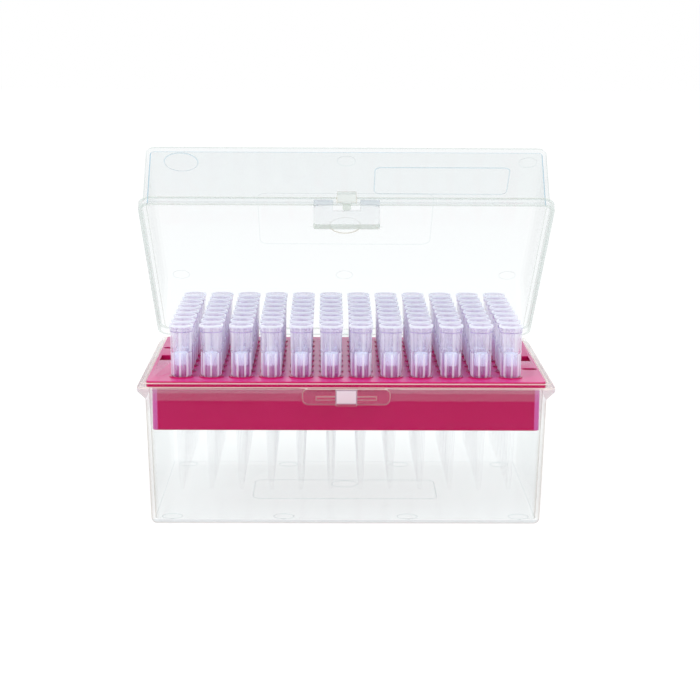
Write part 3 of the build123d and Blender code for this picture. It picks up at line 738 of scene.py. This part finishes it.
# %% Make and dress the lid
LID_DEPTH = (-43.1, 43.1)
lid = moulded("lid", "lid", "clear_pp", 0.2, lid_plastic, lid_edge, block_plastic, mark_edge, ghost_edge,
              shoulder_plastic, blue_edge, gate_edge, front_shoulder)
dress(lid, (
    (gate_edge, (0, 5.5), (0.5, 11.5), (63.3, 64), lid_edge),
    (lid_plastic, (0, 63), LID_DEPTH, (42.4, 62.2)),  # all upright edges of skirt and walls
    (mark_edge, (0, 57), (-38.5, -10), (63.3, 64), lid_edge),
    (ghost_edge, (0, 59.5), (-38.5, 40.2), (62.3, 62.8), lid_edge),  # pins' rings and panel, inside the roof
    (lid_plastic, (58.9, 62), (-38.5, 43), (62.2, 63.7)),  # the roof's sides
    (lid_plastic, (0, 60), (39.5, 43), (62.2, 63.7)),  # the roof's rear
    (shoulder_plastic, (0, 63), LID_DEPTH, (44.65, 44.8)),
    (shoulder_plastic, (0, 63), LID_DEPTH, (42.0, 42.4)),  # the skirt's mouth
    (front_shoulder, (0, 61.5), (-43.1, -41.6), (44.5, 44.8)),
    (lid_edge, (0, 61.5), (-43.1, -41.6), (42.0, 42.4)),
    (lid_edge, (60.05, 60.55), (-41, 41), (43.7, 44.15)),  # the pocket that the lip enters
    (shoulder_plastic, (60.95, 61.75), (-41.8, -38.7), (45, 63.7)),  # front corners, outside
    (blue_edge, (59.8, 60.4), (-40.6, -38.5), (45, 62.4)),  # front corners, inside
    (shoulder_plastic, (0, 60), (-41.8, -39), (62.7, 63.7)),  # the roof's front edge, outside
    (blue_edge, (0, 60), (-41, -38.8), (62.0, 62.5)),  # the same edge, inside
    (block_plastic, (0, 3.1), (-45, -43.02), (38.0, 47.0)),
    (lid_edge, (0, 1.4), (-45, -43.02), (38.0, 43.0)),  # the pip under the block
), SHUT)

# %% [markdown]
# ## The flap
#
# The flap is moulded in one shot with the lid and hangs on two thin strips that bend. Its cavity in
# the mould is spark-eroded, so its surface is frosted: it lets light through but no clear view. A
# rough glass node could do that, but a rough mirror with more haze and a fine bump keeps it in one
# family with the clear plastic.

# %% Make and dress the flap
# Frosted: the eroded grain is finer than 0.1 mm, and is drawn at 0.5 mm so that it shows.
flap_plastic = clear_plastic("frosted moulded polypropylene", "FBFCFC", "C6CAC9", 3.0, 0.16, "F4F6F6",
                             roughness=0.35, grain_mm=0.01, grain_scale_mm=0.5)
# The thin strips are stretched milky by bending, and the hook is the thick lower end.
strip_plastic = clear_plastic("frosted moulded polypropylene, hinge strips", "F0F3F5", "C2C9D0", 3.0, 0.3,
                              "E8ECEF", roughness=0.3)
hook_plastic = clear_plastic("frosted moulded polypropylene, hook", "F2F5F2", "CDD4CC", 3.0, 0.3, "EAEFEA",
                             roughness=0.3)
flap = moulded("latch_flap", "latch", "frosted_pp", 0.1, flap_plastic, flap_plastic, strip_plastic,
               hook_plastic)
dress(flap, (
    (strip_plastic, (0, 20), (-50, -40), (41.2, 50)),
    (hook_plastic, (0, 20), (-50, -40), (30, 35.15)),
), SHUT)

# %% [markdown]
# ## The magenta rack
#
# The rack is a plate with 96 collared holes and a skirt that drops into the base. It is polypropylene
# dyed through, so its colour is deep, and no light passes. The mould's texture makes it satin: a
# soft mirror that is weak straight on and strong along the plate, where it takes up the white of the
# studio. A Principled shader has a fixed rise towards grazing angles. This satin rises more slowly,
# as a textured surface does, so the mirror is mixed in by hand.


# %% Dyed plastic
SATIN_STRAIGHT, SATIN_GRAZING = 0.004, 0.78  # the mirror's share straight on and along the surface
SATIN_RISE = 4.2  # how steeply it grows in between
CLOUD_MM = 1000 / 60  # the dye is never mixed quite evenly: faint clouds of about 17 mm
TEXTURE_MM = 0.625  # the real texture is about 0.1 mm, drawn coarser so that it shows
TEXTURE_DEPTH_MM = 0.04


def dyed_plastic(name, dark, light):
    """A dyed moulding with a satin texture, between two tones of its dye."""
    material, tree, output = new_material(name)
    place = add(tree, "ShaderNodeTexCoord")
    cloud = add(tree, "ShaderNodeTexNoise",
                {"Vector": place.outputs["Object"], "Scale": 1 / (CLOUD_MM * MM), "Detail": 3.0})
    dye = add(tree, "ShaderNodeMix", {0: cloud.outputs[0], 6: linear(dark), 7: linear(light)},
              data_type="RGBA")
    grain = add(tree, "ShaderNodeTexNoise",
                {"Vector": place.outputs["Object"], "Scale": 1 / (TEXTURE_MM * MM), "Detail": 2.0})
    bump = add(tree, "ShaderNodeBump",
               {"Height": grain.outputs[0], "Distance": TEXTURE_DEPTH_MM * MM, "Strength": 0.6})
    slant = add(tree, "ShaderNodeLayerWeight", {"Blend": 0.5, "Normal": bump.outputs[0]})
    grazing = add(tree, "ShaderNodeMath", {0: slant.outputs["Facing"], 1: SATIN_RISE}, operation="POWER")
    share = add(tree, "ShaderNodeMath",
                {0: grazing.outputs[0], 1: SATIN_GRAZING - SATIN_STRAIGHT, 2: SATIN_STRAIGHT},
                operation="MULTIPLY_ADD")
    dyed = add(tree, "ShaderNodeBsdfDiffuse", {"Color": dye.outputs[2], "Normal": bump.outputs[0]})
    satin = add(tree, "ShaderNodeBsdfGlossy",
                {"Color": linear("FAF0FF"), "Roughness": 0.2, "Normal": bump.outputs[0]})
    whole = add(tree, "ShaderNodeMixShader", {0: share.outputs[0], 1: dyed.outputs[0], 2: satin.outputs[0]})
    tree.links.new(whole.outputs[0], output.inputs["Surface"])
    return material


# %% Make and dress the rack
# Skirt: the deep magenta of the dye itself.
rack_plastic = dyed_plastic("dyed moulded polypropylene", "B00F4E", "BA1358")
# Plate: pinker, because the milky tips over it scatter white light down on it.
plate_plastic = dyed_plastic("dyed moulded polypropylene, plate", "C61C6E", "D22A7C")
# Collars: the ring round each hole lies in the shade of its tip.
collar_plastic = dyed_plastic("dyed moulded polypropylene, collars", "A40E4A", "AE1252")
# Skirt corners: the base's clear corners spread pale light over them, and they look mauve.
corner_plastic = dyed_plastic("dyed moulded polypropylene, skirt corners", "C2559A", "CC65A6")
rack = moulded("tip_rack", "base", "magenta_pp", 0.12, rack_plastic, rack_plastic, plate_plastic,
               corner_plastic, collar_plastic)
dress(rack, (
    (plate_plastic, (0, 60), (-40, 40), (43.7, 43.92)),
    (collar_plastic, (0, 60), (-40, 40), (43.92, 44.3)),
    (corner_plastic, (56.25, 58.05), (-38.3, -36.6), (28.9, 42)),
))

# %% [markdown]
# ## Sizes
#
# The dressed box has to be as large as the CAD box. This cell only brings the scene up to date.

# %% Bring the scene up to date
bpy.context.view_layer.update()
